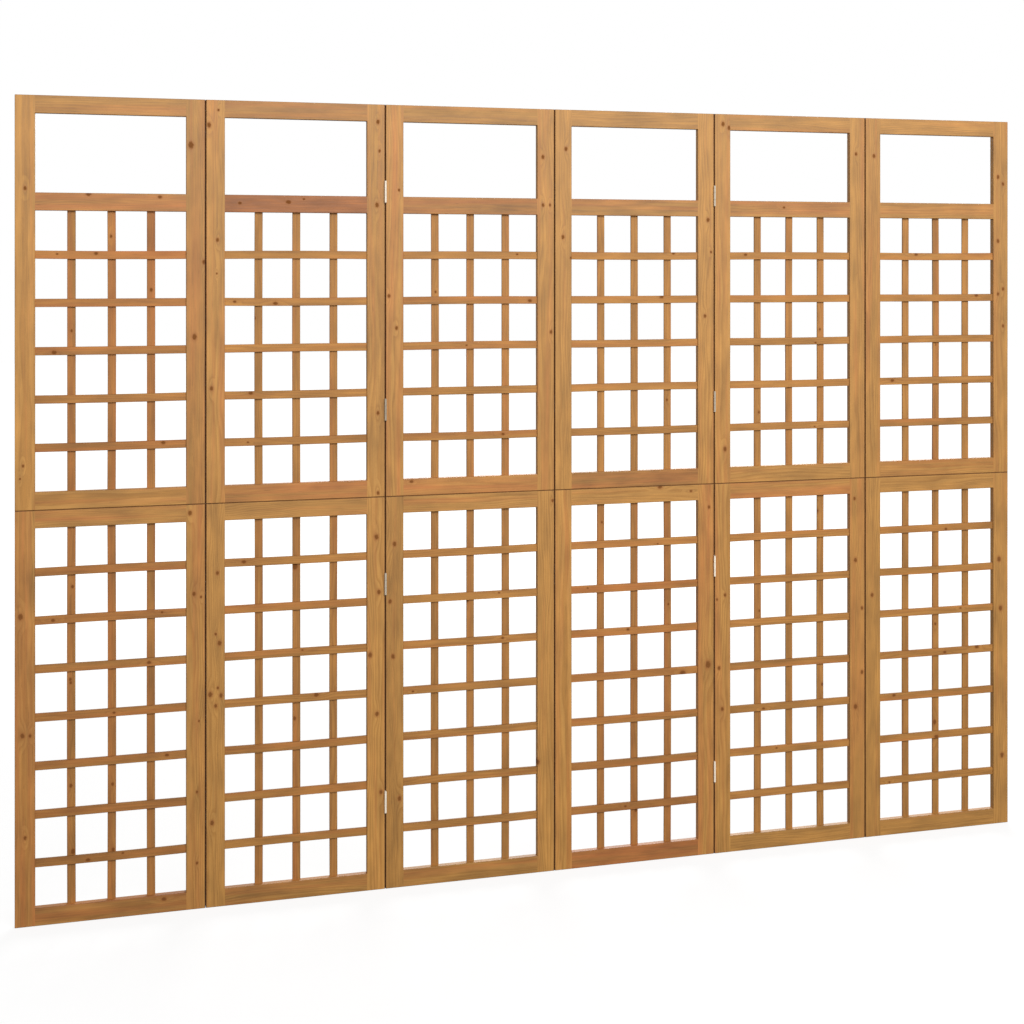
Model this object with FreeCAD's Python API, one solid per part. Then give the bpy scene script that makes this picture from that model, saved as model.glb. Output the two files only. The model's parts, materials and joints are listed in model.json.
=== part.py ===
import FreeCAD, Part
import math
import os

# A folding room divider: flat panels in a row, joined by butt hinges that sit by turns on the
# back and on the front. X runs along the row, the front faces -Y, and the floor is at Z = 0.
# All lengths are in millimetres.

# Panels, each made of a lower and an upper half frame of equal height
panel_count = 6
panel_width = 404.3
panel_gap = 0.7
half_height = 900.0

# Frame boards
frame_thickness = 15.0
stile_width = 42.0
rail_width = 39.0
window_height = 172.0

# Lattice: cross slats in front, upright slats lying on the back of them
slat_width = 18.0
cross_slat_thickness = 6.0
upright_slat_thickness = 4.0
lattice_setback = 3.0
column_count = 4
upper_row_count = 6
lower_row_count = 8

# Joinery: stub tenons on the rails, loose tenons from the lower stiles into the upper ones
tenon_length = 20.0
tenon_thickness = 5.0
tenon_shoulder = 6.0
loose_tenon_reach = 30.0
loose_tenon_width_share = 0.6

# Hinges, with the plates let into the edges of the stiles
hinge_length = 50.0
hinge_inset = 200.0
barrel_diameter = 5.0
barrel_sides = 8
bore_sides = 6
knuckle_count = 3
knuckle_clearance = 0.3
pin_diameter = 2.5
pin_clearance = 0.05
plate_thickness = 1.0
plate_depth = 12.0

# Countersunk wood screws
screw_length = 16.0
screw_head_diameter = 4.6
screw_shank_diameter = 2.4
screw_sides = 6
screw_place_shares = (-0.3, 0.3)

# Sizes that follow from the ones above
panel_pitch = panel_width + panel_gap
overall_width = panel_count * panel_pitch - panel_gap
opening_width = panel_width - 2 * stile_width
front_y = -frame_thickness / 2
cross_slat_y = front_y + lattice_setback
upright_slat_y = cross_slat_y + cross_slat_thickness
window_rail_z = 2 * half_height - rail_width - window_height - rail_width
barrel_corner_radius = barrel_diameter / 2 / math.cos(math.pi / barrel_sides)
bore_corner_radius = (pin_diameter / 2 + pin_clearance) / math.cos(math.pi / bore_sides)
axis_offset = barrel_corner_radius + knuckle_clearance
LEFT, RIGHT = -1, 1
FRONT, BACK = -1, 1


def board(x_range, y_range, z_range):
    """A square-edged block between the two ends of each range, given in either order."""
    low = FreeCAD.Vector(min(x_range), min(y_range), min(z_range))
    high = FreeCAD.Vector(max(x_range), max(y_range), max(z_range))
    size = high - low
    return Part.makeBox(size.x, size.y, size.z, low)


def across(middle, size):
    """The range of a given size about a middle."""
    return (middle - size / 2, middle + size / 2)


def spread(low, high, count, size):
    """Start places of count - 1 members of one size that part a length into count equal gaps."""
    clear = (high - low - (count - 1) * size) / count
    return [low + n * (clear + size) - size for n in range(1, count)]


def polygon(middle, radius, sides, first, second):
    """A regular outline about a middle in the plane of two directions, a flat facing the first."""
    turns = [(2 * n + 1) * math.pi / sides for n in range(sides)]
    points = [middle + first * (radius * math.cos(a)) + second * (radius * math.sin(a)) for a in turns]
    return Part.makePolygon(points + points[:1])


def panel_left(panel):
    return panel * panel_pitch - overall_width / 2


def opening(panel):
    """The range along X between the stiles of a panel."""
    left = panel_left(panel) + stile_width
    return (left, left + opening_width)


def rail_heights(half):
    """Undersides of the rails in the lower half (0) or the upper half (1)."""
    base = half * half_height
    ends = [base, base + half_height - rail_width]
    return ends + [window_rail_z] * half


def lattice_range(half):
    top = (half_height - rail_width, window_rail_z)[half]
    return (half * half_height + rail_width, top)


def rail_tenons(panel, z):
    """One bar that holds the tenons of both ends of a rail, running through its middle."""
    left, right = opening(panel)
    x_range = (left - tenon_length, right + tenon_length)
    z_range = (z + tenon_shoulder, z + rail_width - tenon_shoulder)
    return board(x_range, across(0, tenon_thickness), z_range)


def rail(panel, z):
    body = board(opening(panel), across(0, frame_thickness), (z, z + rail_width))
    return body.fuse(rail_tenons(panel, z)).removeSplitter()


def loose_tenon(panel, hand):
    """A tongue in the outer part of a stile, clear of the rail tenons, across the middle seam."""
    room = stile_width - tenon_length
    edge = panel_left(panel) + panel_width / 2 + hand * panel_width / 2
    x_range = across(edge - hand * room / 2, room * loose_tenon_width_share)
    return board(x_range, across(0, tenon_thickness), across(half_height, 2 * loose_tenon_reach))


def stile(panel, hand, half):
    """One upright of a half frame, with its mortises and the seats for its hinge plates."""
    edge = panel_left(panel) + panel_width / 2 + hand * panel_width / 2
    z_range = (half * half_height, (half + 1) * half_height)
    body = board((edge, edge - hand * stile_width), across(0, frame_thickness), z_range)
    cuts = [rail_tenons(panel, z) for z in rail_heights(half)] + [loose_tenon(panel, hand)]
    line = panel + (hand - 1) // 2
    if 0 <= line < panel_count - 1:
        cuts += [plate_blank(line, -hand, z) for z in hinge_heights(half)]
    return body.cut(Part.makeCompound(cuts))


def upright_slats(panel, half):
    y_range = (upright_slat_y, upright_slat_y + upright_slat_thickness)
    places = spread(*opening(panel), column_count, slat_width)
    return [board((x, x + slat_width), y_range, lattice_range(half)) for x in places]


def cross_slats(panel, half):
    y_range = (cross_slat_y, cross_slat_y + cross_slat_thickness)
    rows = (lower_row_count, upper_row_count)[half]
    places = spread(*lattice_range(half), rows, slat_width)
    return [board(opening(panel), y_range, (z, z + slat_width)) for z in places]


def hinge_heights(half):
    base = half * half_height
    return [base + hinge_inset, base + half_height - hinge_inset]


def hinge_side(line):
    """The first hinge line is on the back, and the next ones change sides by turns."""
    return (BACK, FRONT)[line % 2]


def hinge_axis(line):
    """A point at floor height on the pins of a hinge line."""
    x = panel_left(line) + panel_width + panel_gap / 2
    y = hinge_side(line) * (frame_thickness / 2 + axis_offset)
    return FreeCAD.Vector(x, y, 0)


def plate_block(line, hand, depth_range, z_range):
    """A block as thick as a plate, at one panel's edge, with depths measured from the pin."""
    axis = hinge_axis(line)
    x_range = [axis.x + hand * u for u in (panel_gap / 2, panel_gap / 2 + plate_thickness)]
    y_range = [axis.y - hinge_side(line) * v for v in depth_range]
    return board(x_range, y_range, z_range)


def plate_blank(line, hand, z):
    """The flat of a hinge plate, which is also the shape of its seat in the stile."""
    return plate_block(line, hand, (axis_offset, axis_offset + plate_depth), across(z, hinge_length))


def barrel_prism(line, radius, sides, z_range):
    middle = hinge_axis(line) + FreeCAD.Vector(0, 0, z_range[0])
    outline = polygon(middle, radius, sides, FreeCAD.Vector(1, 0, 0), FreeCAD.Vector(0, 1, 0))
    return Part.Face(outline).extrude(FreeCAD.Vector(0, 0, z_range[1] - z_range[0]))


def hinge_plate(line, hand, z):
    """One plate with its share of the knuckles: the left plate has the first, third and so on."""
    wall_middle = (bore_corner_radius + barrel_diameter / 2) / 2
    pitch = hinge_length / knuckle_count
    pieces = []
    for n in range((hand + 1) // 2, knuckle_count, 2):
        middle = z - hinge_length / 2 + (n + 0.5) * pitch
        z_range = across(middle, pitch - knuckle_clearance)
        pieces.append(barrel_prism(line, barrel_corner_radius, barrel_sides, z_range))
        pieces.append(plate_block(line, hand, (wall_middle, axis_offset), z_range))
    bore = barrel_prism(line, bore_corner_radius, bore_sides, across(z, hinge_length))
    return plate_blank(line, hand, z).fuse(pieces).cut(bore).removeSplitter()


def hinge_pin(line, z):
    start = hinge_axis(line) + FreeCAD.Vector(0, 0, z - hinge_length / 2)
    return Part.makeCylinder(pin_diameter / 2, hinge_length, start)


def plate_screws(line, hand, z):
    """Screws driven along X through one plate, each tapering from a sunk head to a point."""
    axis = hinge_axis(line)
    y = axis.y - hinge_side(line) * (axis_offset + plate_depth / 2)
    face_x = axis.x + hand * panel_gap / 2
    stations = ((0, screw_head_diameter / 2), (plate_thickness, screw_shank_diameter / 2))
    screws = []
    for share in screw_place_shares:
        place = FreeCAD.Vector(face_x, y, z + share * hinge_length)
        along = FreeCAD.Vector(hand, 0, 0)
        outlines = [
            polygon(place + along * u, radius, screw_sides, FreeCAD.Vector(0, 1, 0), FreeCAD.Vector(0, 0, 1))
            for u, radius in stations
        ]
        point = Part.Vertex(place + along * screw_length)
        screws.append(Part.makeLoft(outlines + [point], True, True))
    return screws


def save(node, solids):
    Part.makeCompound(solids).exportStep(f"parts/{node}.step")
    print(f"{node}: {len(solids)} solids")


def save_panel(panel):
    name = f"panel_{panel + 1}"
    halves = (0, 1)
    save(f"{name}_stiles", [stile(panel, hand, half) for half in halves for hand in (LEFT, RIGHT)])
    save(f"{name}_rails", [rail(panel, z) for half in halves for z in rail_heights(half)])
    save(f"{name}_upright_slats", [slat for half in halves for slat in upright_slats(panel, half)])
    save(f"{name}_cross_slats", [slat for half in halves for slat in cross_slats(panel, half)])
    save(f"{name}_loose_tenons", [loose_tenon(panel, hand) for hand in (LEFT, RIGHT)])


def save_hinge_line(line):
    name = f"hinges_{line + 1}_{line + 2}"
    heights = hinge_heights(0) + hinge_heights(1)
    for hand, word in ((LEFT, "left"), (RIGHT, "right")):
        save(f"{name}_{word}_plates", [hinge_plate(line, hand, z) for z in heights])
        save(f"{name}_{word}_screws", [screw for z in heights for screw in plate_screws(line, hand, z)])
    save(f"{name}_pins", [hinge_pin(line, z) for z in heights])


os.makedirs("parts", exist_ok=True)
for panel in range(panel_count):
    save_panel(panel)
for line in range(panel_count - 1):
    save_hinge_line(line)
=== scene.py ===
# %% [markdown]
# A folding room divider in oiled fir.
# The real thing is a row of slim wooden panels on small steel hinges. Each panel is two half frames,
# one above the other, filled with crossed slats, and the upper one has an open window at its top. This
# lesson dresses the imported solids: every board is sawn again with eased edges, and gets grain, knots and
# a satin oil finish.

# %% Load the frame
import bmesh
import bpy
import json
import math
import random
from mathutils import Matrix, Vector

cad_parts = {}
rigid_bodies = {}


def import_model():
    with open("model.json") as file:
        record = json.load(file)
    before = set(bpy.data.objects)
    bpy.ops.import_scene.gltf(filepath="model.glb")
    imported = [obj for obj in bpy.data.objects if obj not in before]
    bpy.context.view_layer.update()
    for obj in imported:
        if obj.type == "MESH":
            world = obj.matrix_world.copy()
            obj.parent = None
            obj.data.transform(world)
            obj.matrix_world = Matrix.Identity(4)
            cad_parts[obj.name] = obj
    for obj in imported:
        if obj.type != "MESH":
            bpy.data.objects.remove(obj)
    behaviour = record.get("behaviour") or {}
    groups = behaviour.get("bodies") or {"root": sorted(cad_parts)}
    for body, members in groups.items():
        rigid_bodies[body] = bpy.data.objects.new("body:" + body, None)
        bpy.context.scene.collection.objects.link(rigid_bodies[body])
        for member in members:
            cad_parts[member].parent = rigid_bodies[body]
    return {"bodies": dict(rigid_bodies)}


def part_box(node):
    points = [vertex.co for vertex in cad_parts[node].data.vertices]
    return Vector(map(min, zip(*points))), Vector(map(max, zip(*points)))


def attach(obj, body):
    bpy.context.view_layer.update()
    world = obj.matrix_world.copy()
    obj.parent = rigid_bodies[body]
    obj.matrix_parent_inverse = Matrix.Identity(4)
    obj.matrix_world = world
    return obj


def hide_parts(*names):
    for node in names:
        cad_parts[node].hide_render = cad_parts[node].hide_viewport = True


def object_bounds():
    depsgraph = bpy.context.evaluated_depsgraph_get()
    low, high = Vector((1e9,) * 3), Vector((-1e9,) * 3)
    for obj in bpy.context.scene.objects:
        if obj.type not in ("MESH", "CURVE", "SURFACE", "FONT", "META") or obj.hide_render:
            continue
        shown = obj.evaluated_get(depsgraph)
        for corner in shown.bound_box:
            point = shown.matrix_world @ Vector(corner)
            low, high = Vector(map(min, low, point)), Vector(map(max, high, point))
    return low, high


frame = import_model()
cad_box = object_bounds()
panel_numbers = sorted({int(name.split("_")[1]) for name in frame["bodies"]})
joint_numbers = panel_numbers[:-1]
print("panels", len(panel_numbers), "overall size", [round(v, 4) for v in cad_box[1] - cad_box[0]])

# %% [markdown]
# The sizes come from the frame. A node's box holds several boards, so each board's size is worked out
# from the boxes of its neighbours: a cross slat starts where a stile ends, and so on.

# %% Sizes of the boards
column_count = 4
row_counts = (8, 6)
stile_low, stile_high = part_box("panel_1_stiles")
cross_low, cross_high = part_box("panel_1_cross_slats")
upright_low, upright_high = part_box("panel_1_upright_slats")
frame_thickness = stile_high.y - stile_low.y
half_height = (stile_high.z - stile_low.z) / 2
stile_width = cross_low.x - stile_low.x
opening_width = cross_high.x - cross_low.x
rail_width = upright_low.z - stile_low.z
column_gap = upright_low.x - cross_low.x
slat_width = (opening_width - column_count * column_gap) / (column_count - 1)
front_y = stile_low.y
cross_y = (cross_low.y + cross_high.y) / 2
upright_y = (upright_low.y + upright_high.y) / 2
cross_thickness = cross_high.y - cross_low.y
upright_thickness = upright_high.y - upright_low.y
print("stile", stile_width, "rail", rail_width, "slat", slat_width)

# %% [markdown]
# The camera comes first, because the places of the knots are read through it. It stands at eye height
# near the left end and looks to the right. Shifting the lens down instead of tipping the camera keeps
# the upright lines upright, as a product photographer does with a shift lens.

# %% Camera
image_size = 1024
sensor_width = 36
focal_pixels = 1510.5
horizon_pixel = 266.8
camera_place = Vector((-1.0153, -3.4326, 1.4277))
camera_turn = math.radians(-14.895)

bpy.ops.object.select_all(action="DESELECT")
bpy.ops.object.camera_add(location=camera_place, rotation=(math.pi / 2, 0, camera_turn))
camera = bpy.context.object
camera.data.sensor_width = sensor_width
camera.data.lens = sensor_width * focal_pixels / image_size
camera.data.shift_y = (horizon_pixel - image_size / 2) / image_size
bpy.context.scene.camera = camera
bpy.context.view_layer.update()
print("lens", round(camera.data.lens, 2), "shift", round(camera.data.shift_y, 4))


def seen_at(column, row):
    """The point on the front faces of the frames that lies behind a pixel of the photograph."""
    aside = (column - image_size / 2) / focal_pixels
    painted_light_lift = (horizon_pixel - row) / focal_pixels
    ray = camera.matrix_world.to_3x3() @ Vector((aside, painted_light_lift, -1))
    return camera_place + ray * ((front_y - camera_place.y) / ray.y)


# %% [markdown]
# Blender's operators work on whatever is selected, so a few small helpers come first. They select one
# piece, apply a modifier to it, copy it, throw it away, join or carve it with another, make a block of a
# given size, or pick out edges.

# %% Helpers for modelling
def drop_selection():
    bpy.ops.object.select_all(action="DESELECT")


def take(piece):
    drop_selection()
    piece.select_set(True)
    bpy.context.view_layer.objects.active = piece


def apply_modifier(piece, kind, **settings):
    take(piece)
    modifier = piece.modifiers.new(kind.title(), kind)
    for name, value in settings.items():
        setattr(modifier, name, value)
    bpy.ops.object.modifier_apply(modifier=modifier.name)


def copy_of(piece):
    copy = piece.copy()
    copy.data = piece.data.copy()
    bpy.context.collection.objects.link(copy)
    return copy


def discard(piece):
    mesh = piece.data
    bpy.data.objects.remove(piece)
    bpy.data.meshes.remove(mesh)


def fuse(piece, other):
    apply_modifier(piece, "BOOLEAN", operation="UNION", object=other, solver="EXACT")
    discard(other)


def carve(piece, other):
    apply_modifier(piece, "BOOLEAN", operation="DIFFERENCE", object=other, solver="EXACT")
    discard(other)


def new_block(name, size, place=(0, 0, 0)):
    drop_selection()
    bpy.ops.mesh.primitive_cube_add(size=1, location=place)
    block = bpy.context.object
    block.name = name
    block.scale = size
    bpy.ops.object.transform_apply(location=True, rotation=False, scale=True)
    return block


def pick_edges(piece, wanted):
    """Selects, in edit mode, the edges whose two ends pass a test."""
    bpy.ops.mesh.select_mode(type="EDGE")
    bpy.ops.mesh.select_all(action="DESELECT")
    shape = bmesh.from_edit_mesh(piece.data)
    for edge in shape.edges:
        edge.select_set(wanted(edge.verts[0].co, edge.verts[1].co))
    bmesh.update_edit_mesh(piece.data)


# %% [markdown]
# A fir board is dried, planed and then has its sharp edges eased with sandpaper. A cube at the board's
# size is the start. The Bevel modifier rounds each edge by its own weight, so the outer edges of a
# stile can be rounder than the inner ones, and the ends of a rail stay sharp where they are glued.
# Smooth shading then hides the steps of the round edges. A wide face of wood has to stay flat, so there
# the largest face at a corner alone sets the direction of its shading.

# %% Saw a board with the grain along X
bevel_steps = 4
smooth_angle = math.radians(40)
square_millimetre = 1e-6
all_faces, largest_face = 50, 100


def saw_board(name, size, eased, cuts=0, marks=()):
    """A board of one size (length, thickness, width) whose edges are eased by eased(first, second).

    Marks are places along the length where one edge may change from eased to sharp."""
    board = new_block(name, size)
    for along in marks:
        bpy.ops.object.mode_set(mode="EDIT")
        bpy.ops.mesh.select_all(action="SELECT")
        bpy.ops.mesh.bisect(plane_co=(along, 0, 0), plane_no=(1, 0, 0))
        bpy.ops.object.mode_set(mode="OBJECT")
    places = board.data.vertices
    pairs = [[places[index].co for index in edge.vertices] for edge in board.data.edges]
    amounts = [eased(*pair) for pair in pairs]
    weights = board.data.attributes.new("bevel_weight_edge", "FLOAT", "EDGE")
    weights.data.foreach_set("value", [amount / max(amounts) for amount in amounts])
    apply_modifier(board, "BEVEL", limit_method="WEIGHT", width=max(amounts), segments=bevel_steps)
    if cuts:
        take(board)
        bpy.ops.object.mode_set(mode="EDIT")
        pick_edges(board, lambda a, b: abs(a.x - b.x) > size[0] / 2)
        bpy.ops.mesh.subdivide(number_cuts=cuts)
        bpy.ops.object.mode_set(mode="OBJECT")
    return board


def runs_along(first, second):
    return abs(first.x - second.x) > abs(first.z - second.z) + abs(first.y - second.y)


def smooth_over(piece, weight):
    """Shades the rounded edges smooth, with the share of large faces set by a weight."""
    take(piece)
    bpy.ops.object.shade_smooth_by_angle(angle=smooth_angle)
    apply_modifier(piece, "WEIGHTED_NORMAL", keep_sharp=True, weight=weight, thresh=square_millimetre)


# %% [markdown]
# A stile is the upright of a half frame. Its outer edge carries the hinge plates in shallow seats,
# which a joiner cuts with a chisel. Here a block for each seat is taken out with the Boolean modifier.
# The stile lies along X with its outer edge towards +Z and its seam end, where the two halves meet,
# towards +X. Its inner edge is eased only between the rails, because they were glued in first, so the
# block is bisected at the rails before it is bevelled. Kinds differ by half, by which face is the
# front, and by which face has the seats: none for the two ends of the row.

# %% Stiles
outer_arris = 0.0022
seam_arris = 0.0018
inner_arris = 0.0012
back_arris = 0.0005
corner_arris = 0.0003
hinge_length = 0.050
plate_thickness = 0.001
plate_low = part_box("hinges_1_2_left_plates")[0]
pin_low, pin_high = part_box("hinges_1_2_pins")
hinge_inset = pin_low.z + hinge_length / 2
plate_depth = stile_high.y - plate_low.y
seam_x = half_height / 2
nearly_all = 0.999
inner_corner = 0.4
window_rail = upright_high.z - half_height
rail_starts = ((0, half_height - rail_width), (0, window_rail, half_height - rail_width))


def stile_easing(half, front, side):
    def eased(first, second):
        middle = (first + second) / 2
        if runs_along(first, second):
            if middle.z > 0:
                faces_front = middle.y * front > 0
                return inner_arris if side == 0 else outer_arris if faces_front else back_arris
            from_seam = seam_x - middle.x
            at_rail = any(low < from_seam < low + rail_width for low in rail_starts[half])
            return 0 if at_rail else inner_arris
        if abs(middle.x) < seam_x * nearly_all or middle.z < -stile_width * inner_corner:
            return 0
        through = abs(first.y - second.y) > abs(first.z - second.z)
        if middle.x < 0:
            return inner_arris
        return corner_arris if through else seam_arris

    return eased


def saw_stile(half, front, side):
    """A stile of one half, its front towards front * Y, with hinge seats towards side * Y."""
    marks = {round(seam_x - low - width, 6) for low in rail_starts[half] for width in (0, rail_width)}
    marks = sorted(mark for mark in marks if abs(mark) < seam_x * nearly_all)
    size = (half_height, frame_thickness, stile_width)
    stile = saw_board("stile", size, stile_easing(half, front, side), marks=marks)
    for end in (-1, 1) if side else ():
        along = end * (half_height / 2 - hinge_inset)
        seat_size = (hinge_length, 2 * plate_depth, 2 * plate_thickness)
        seat = new_block("seat", seat_size, (along, side * frame_thickness / 2, stile_width / 2))
        carve(stile, seat)
    return stile


stile_kinds = {
    (half, front, side): saw_stile(half, front, side)
    for half in (0, 1) for front in (-1, 1) for side in (-1, 0, 1)
}
print("stile faces", {kind: len(stile.data.polygons) for kind, stile in stile_kinds.items()})

# %% [markdown]
# Rails are the level members of a frame, with ends glued into the stiles. The slats of the lattice are
# thin laths. Sawn laths are never quite straight, so they are cut into short lengths that can bow.

# %% Rails and slats
slat_arris = 0.0009
lath_cuts = 9
lattice_heights = (half_height - 2 * rail_width, window_rail - rail_width)


def ease_length(below, above):
    """Eases the edges along a board by one amount below its middle and another above it."""
    def eased(first, second):
        return (above if first.z > 0 else below) if runs_along(first, second) else 0

    return eased


rail_size = (opening_width, frame_thickness, rail_width)
rail_kind = saw_board("rail", rail_size, ease_length(inner_arris, inner_arris))
seam_rail_kind = saw_board("seam_rail", rail_size, ease_length(inner_arris, seam_arris))
lath_edges = ease_length(slat_arris, slat_arris)
cross_kind = saw_board("cross", (opening_width, cross_thickness, slat_width), lath_edges, lath_cuts)
upright_kinds = [
    saw_board("upright", (height, upright_thickness, slat_width), lath_edges, lath_cuts)
    for height in lattice_heights
]
tenon_low, tenon_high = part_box("panel_1_loose_tenons")
tenon_width = 0.0132
tenon_size = (tenon_high.z - tenon_low.z, tenon_high.y - tenon_low.y, tenon_width)
tenon_kind = saw_board("tongue", tenon_size, lath_edges)
wood_kinds = [*stile_kinds.values(), rail_kind, seam_rail_kind, cross_kind, *upright_kinds, tenon_kind]
for kind in wood_kinds:
    smooth_over(kind, largest_face)
print("faces of a rail, a slat", len(rail_kind.data.polygons), len(cross_kind.data.polygons))

# %% [markdown]
# Knots are where branches grew. The photograph shows them as small dark spots, mostly on the stiles.
# Each is noted by its column and row in the photograph and its radius in millimetres, and it is put on
# the board that it falls on. The material reads up to eight knots from each board's own attributes.

# %% Knots seen in the photograph
knots_per_board = 8
knot_notes = [
    (25, 188, 4), (23, 466, 3), (20, 479, 2.2), (20.5, 617, 6), (22.5, 736, 5), (30, 736, 3.5),
    (25, 838, 4), (191, 145, 7), (204, 262, 4.5), (194.5, 337, 6), (190, 513, 5), (194, 594, 4.5),
    (201, 597, 2.8), (197, 792, 3.2), (197, 863, 3.2), (199, 721, 2.5), (218.5, 110, 2.8),
    (209, 125, 5), (217.5, 240, 4), (216.8, 273.5, 2), (211.4, 388.5, 4.5), (217.5, 573, 4),
    (215.7, 634, 3), (219.5, 643, 5), (212, 823, 5), (210.3, 694.5, 5.5), (221, 695.5, 4.5),
    (217.8, 688, 3), (215.7, 706, 4), (378, 122, 4.5), (379.5, 151, 3.4), (377, 205, 5),
    (378, 413, 4), (378, 493, 4), (376.5, 537, 5.5), (379, 592, 5), (370, 655, 5.5), (377, 714, 5),
    (381, 792, 4.5), (399, 190, 3.2), (389, 296, 4), (396.5, 328, 4), (394.5, 544, 5),
    (390, 601.5, 4.5), (393, 656.5, 5), (399.5, 798.5, 5), (537.5, 762, 6), (543, 157, 4.5),
    (550, 205, 3), (543, 205, 4), (551, 332, 4), (552.5, 500.5, 3.5), (566, 149, 4.5),
    (563, 237, 4.5), (571, 258, 3.2), (708, 220, 4.5), (711, 252, 3), (705, 316, 4),
    (709, 507, 3.8), (708, 664.5, 8), (725, 449, 5.2), (723, 124, 5), (729, 128, 4.5),
    (725, 595, 4), (719, 668, 4.5), (722.3, 709, 4.5), (717, 599.5, 3), (856, 154, 4),
    (854.5, 498.5, 4), (855.5, 560, 5), (862, 608, 4), (862, 672, 4.5), (855.5, 706.5, 6),
    (874, 156, 4.5), (872, 595, 4.5), (998, 177, 4.5), (1003, 184, 4), (998, 241, 4.5),
    (1003, 289, 4), (998, 294, 4), (1003, 326, 4), (999, 559, 6), (1000.5, 608, 6), (1002, 755, 6),
    (88.5, 194, 5), (160, 197, 4), (240, 203, 4), (288.5, 202, 5.5), (304, 199, 2.8),
    (784, 207.5, 3.2), (411.5, 481.5, 4), (660, 487, 5), (691, 491, 3.2), (164, 899, 5),
    (71, 787, 4), (73, 853, 5.5), (113, 851, 4), (88, 860, 4.5), (54, 352.5, 5), (96, 253, 3.5),
    (71.5, 331, 3), (255, 318, 4), (275.5, 303, 4.5), (244, 562, 4.5), (295.3, 567, 7.5),
    (316.5, 695.5, 5), (295, 719.5, 4), (53, 621, 4), (72.5, 587.5, 3.5), (70.5, 680.5, 3.5),
    (114, 713, 3), (167, 755.5, 4), (468, 601.5, 4), (628.5, 629.5, 3.5), (683, 673, 6.5),
    (819, 511.5, 3.5), (933.5, 574.5, 5), (977.5, 647, 5), (894.5, 695.5, 4), (936.5, 723, 5.5),
    (937, 737, 5.5),
]
knots = [(seen_at(column, row), radius / 1000) for column, row, radius in knot_notes]
print("knots", len(knots))


# %% [markdown]
# Each copy of a board is turned into place with a matrix, and carries what the wood material needs:
# where each point lies in the board, how the board is toned, which faces show end grain, its knots, and
# the edges where it meets the next frame. The shadow of the gap there is painted into the rounded corners
# as a near-black brown, so the line between two frames looks nearly black.

# %% Lay a copy of a board in its place
stand_up = Matrix.Rotation(-math.pi / 2, 4, "Y")
hang_down = Matrix.Rotation(math.pi / 2, 4, "Y")
turn_round = Matrix.Rotation(math.pi, 4, "Z")
chance = random.Random(7)
tone_chance, red_chance = 0.5, 0.6
lath_knot_radii = (0.002, 0.0045)
lath_knot_reach, lath_knot_spread = 0.9, 0.7
end_facing = 0.9


def note_points(mesh, name, values):
    layer = mesh.attributes.new(name, "FLOAT_VECTOR", "POINT")
    layer.data.foreach_set("vector", [v for value in values for v in value])


def note_faces(mesh, name, values):
    layer = mesh.attributes.new(name, "FLOAT", "FACE")
    layer.data.foreach_set("value", values)


def half_sizes(board):
    return [max(abs(v.co[axis]) for v in board.data.vertices) for axis in range(3)]


def knots_on(board, place):
    """Knots that fall on a board at a place, as (along, across, radius) in the board's own lengths."""
    half = half_sizes(board)
    found = []
    for spot, radius in knots:
        local = place.inverted() @ spot
        if abs(local.x) < half[0] and abs(local.z) < half[2] + radius / 2:
            found.append((local.x, local.z, radius))
    return found


def bow(mesh, amount):
    """Bends a lath sideways a little along its length, with its two ends left in place."""
    reach = max(v.co.x for v in mesh.vertices)
    for vertex in mesh.vertices:
        share = vertex.co.x / reach
        vertex.co.z += amount * (1 - share * share)


facing = 0.98
# Painted shade: the rounded edges and the sides of the laths are darkened as if in shade, and the edges in
# the gap between two frames or halves get a near-black painted shadow.
arris_painted_shade = 0.4
side_painted_shade = 0.0
lath_side_painted_shade = 0.25
joint_painted_shadow = 1.0
seam_painted_shadow = 0.7
flat_painted_shade = 0.2
joint_share = 0.62
edge_share = 0.3


def painted_shade_faces(mesh, meets, sides):
    """How much painted shade each face gets: its arrises, its sides, and the painted shadow of the gap
    where it meets another frame.
    """
    ends = [max(vertex.co.dot(meet[0]) for vertex in mesh.vertices) for meet in meets]
    painted_shades = []
    for face in mesh.polygons:
        square = max(abs(v) for v in face.normal) > facing
        painted_shade = sides * (abs(face.normal.z) > facing) if square else arris_painted_shade
        for (direction, arris, dark), end in zip(meets, ends):
            depth = end - face.center.dot(direction)
            if face.normal.dot(direction) > facing:
                painted_shade = flat_painted_shade
            elif depth < arris:
                painted_shade = dark if depth < arris * joint_share else dark * edge_share
        painted_shades.append(float(painted_shade))
    return painted_shades


def small_knots(board, most):
    """A few small knots put on a lath by chance."""
    half = half_sizes(board)
    return [
        (
            chance.uniform(-lath_knot_reach, lath_knot_reach) * half[0],
            chance.uniform(-lath_knot_spread, lath_knot_spread) * half[2],
            chance.uniform(*lath_knot_radii),
        )
        for n in range(chance.randint(0, most))
    ]


def lay_board(kind, place, tone=0.0, red=0.0, bowed=0.0, meets=(), knotty=0, sides=side_painted_shade):
    board = copy_of(kind)
    mesh = board.data
    note_points(mesh, "grain_place", [(v.co.x, v.co.z, v.co.y) for v in mesh.vertices])
    mark = (
        chance.random(),
        tone + chance.uniform(-tone_chance, tone_chance),
        red + chance.uniform(-red_chance, red_chance),
    )
    note_points(mesh, "board_mark", [mark] * len(mesh.vertices))
    note_faces(mesh, "end_grain", [float(abs(face.normal.x) > end_facing) for face in mesh.polygons])
    note_faces(mesh, "painted_shade", painted_shade_faces(mesh, meets, sides))
    found = knots_on(board, place) + small_knots(board, knotty) + [(0, 0, 0)] * knots_per_board
    for n in range(knots_per_board):
        note_points(mesh, f"knot_{n + 1}", [found[n]] * len(mesh.vertices))
    bow(mesh, chance.uniform(-bowed, bowed))
    mesh.transform(place)
    return board


def join_boards(name, boards):
    take(boards[0])
    for board in boards:
        board.select_set(True)
    bpy.ops.object.join()
    boards[0].name = name
    boards[0].data.name = name
    return boards[0]
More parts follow.
